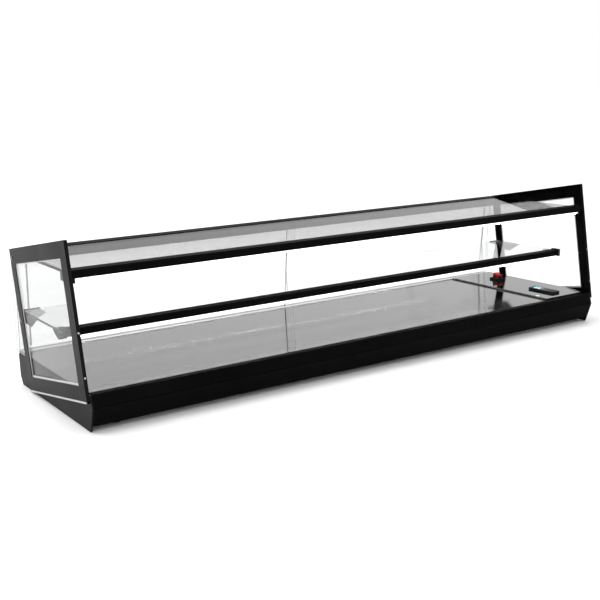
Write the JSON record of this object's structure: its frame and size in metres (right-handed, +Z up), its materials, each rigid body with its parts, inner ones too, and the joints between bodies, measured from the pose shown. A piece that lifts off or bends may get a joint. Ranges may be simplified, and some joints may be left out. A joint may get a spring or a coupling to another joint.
{
  "type": "hot food display case",
  "caption": "Long countertop heated display case with leaning black-framed glass ends, two glass shelves, a heated steel deck and sliding glass rear doors.",
  "frame": {"origin": "centre of the footprint, on the surface the feet stand on", "axes": "+X along the length towards the control strip, +Y to the back (sliding doors), +Z up"},
  "size_m": [1.4028, 0.395, 0.3543],
  "materials": {
    "black_panel": "satin black powder coat",
    "black_frame": "smooth black with a soft sheen",
    "deck_steel": "polished, strongly reflecting",
    "sill_aluminium": "satin anodised",
    "inner_steel": "galvanised",
    "clear_glass": "clear tempered, polished edges",
    "clear_seal": "translucent light grey",
    "foot_rubber": "matt",
    "black_plastic": "fine satin",
    "screen": "gloss smoked lens",
    "red_rocker": "translucent red",
    "lamp": "opal diffuser",
    "bright_steel": "bright",
    "bracket_grey": "satin grey",
    "heater_rubber": "silicone heater mat",
    "wool": "mineral fibre board"
  },
  "bodies": {
    "case": {"base_side_l": "black_panel", "base_side_r": "black_panel", "base_tray": "inner_steel", "rear_panel": "black_panel", "front_panel": "black_panel", "front_lip": "black_panel", "deck_plate": "deck_steel", "control_strip": "deck_steel", "rear_sill": "sill_aluminium", "foot_fl": "foot_rubber", "foot_fr": "foot_rubber", "foot_bl": "foot_rubber", "foot_br": "foot_rubber", "heater_mat": "heater_rubber", "insulation_board": "wool", "terminal_box": "black_plastic", "cable_gland": "black_plastic", "controller_body": "black_plastic", "controller_screen": "screen", "switch_body": "black_plastic", "rear_rail": "black_panel", "top_rail": "black_panel", "mid_rail": "black_panel", "top_shelf": "clear_glass", "mid_shelf": "clear_glass", "led_top": "lamp", "led_mid": "lamp", "top_bracket_l": "black_panel", "top_bracket_r": "black_panel", "mid_clip_l": "black_plastic", "mid_clip_r": "black_plastic", "shelf_bracket_l": "bracket_grey", "shelf_bracket_r": "bracket_grey", "end_frame_l": "black_frame", "end_frame_r": "black_frame", "end_glass_l": "clear_glass", "end_glass_r": "clear_glass", "glazing_seal_l": "clear_seal", "glazing_seal_r": "clear_seal", "edge_trim_l": "clear_seal", "edge_trim_r": "clear_seal", "rail_bolt_l": "bright_steel", "rail_bolt_r": "bright_steel", "shelf_bolt_l": "bright_steel", "shelf_bolt_r": "bright_steel", "edge_screw_low_l": "bright_steel", "edge_screw_low_r": "bright_steel", "edge_screw_high_l": "bright_steel", "edge_screw_high_r": "bright_steel", "strip_screw": "bright_steel", "joint_seal": "foot_rubber"},
    "door_left": {"door_glass_l": "clear_glass", "door_pull_l": "clear_seal"},
    "door_right": {"door_glass_r": "clear_glass", "door_pull_r": "clear_seal"},
    "rocker": {"rocker": "red_rocker"},
    "button_1": {"button_1": "black_plastic"},
    "button_2": {"button_2": "black_plastic"},
    "button_3": {"button_3": "black_plastic"},
    "button_4": {"button_4": "black_plastic"}
  },
  "joints": [
    {"name": "door_left_slide", "type": "slide", "parent": "case", "child": "door_left", "axis": [1, 0, 0], "range_m": [0, 0.62]},
    {"name": "door_right_slide", "type": "slide", "parent": "case", "child": "door_right", "axis": [-1, 0, 0], "range_m": [0, 0.62]},
    {"name": "rocker_tilt", "type": "hinge", "parent": "case", "child": "rocker", "pos_m": [0.627, 0.0745, 0.08], "axis": [-1, 0, 0], "range_deg": [0, 24]},
    {"name": "button_1_press", "type": "slide", "parent": "case", "child": "button_1", "axis": [0, 0, -1], "range_m": [0, 0.0008], "stiffness_N_per_m": 600},
    {"name": "button_2_press", "type": "slide", "parent": "case", "child": "button_2", "axis": [0, 0, -1], "range_m": [0, 0.0008], "stiffness_N_per_m": 600},
    {"name": "button_3_press", "type": "slide", "parent": "case", "child": "button_3", "axis": [0, 0, -1], "range_m": [0, 0.0008], "stiffness_N_per_m": 600},
    {"name": "button_4_press", "type": "slide", "parent": "case", "child": "button_4", "axis": [0, 0, -1], "range_m": [0, 0.0008], "stiffness_N_per_m": 600}
  ]
}
